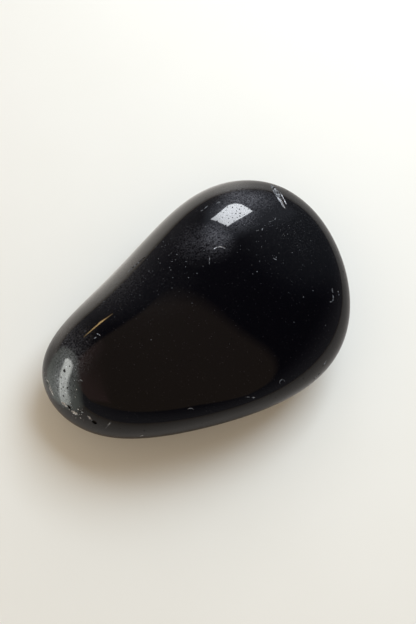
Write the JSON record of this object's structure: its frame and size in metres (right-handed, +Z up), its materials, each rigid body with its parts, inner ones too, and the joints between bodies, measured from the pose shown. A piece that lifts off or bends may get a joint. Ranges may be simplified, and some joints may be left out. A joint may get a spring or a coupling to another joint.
{
  "type": "tumbled obsidian pebble",
  "caption": "Pear-shaped pebble of black volcanic glass, tumbled smooth and polished, with a shell-shaped chip at the rim and small pits at the narrow tip.",
  "frame": {"origin": "on the surface the stone rests on, under the middle of its bounding box", "axes": "+X along the stone's length towards its blunt end, +Y across it, +Z up out of the polished crown"},
  "size_m": [0.0416, 0.0292, 0.0155],
  "materials": {
    "obsidian": "tumble-polished, glossy black volcanic glass"
  },
  "bodies": {
    "root": {"obsidian_stone": "obsidian"}
  },
  "joints": []
}
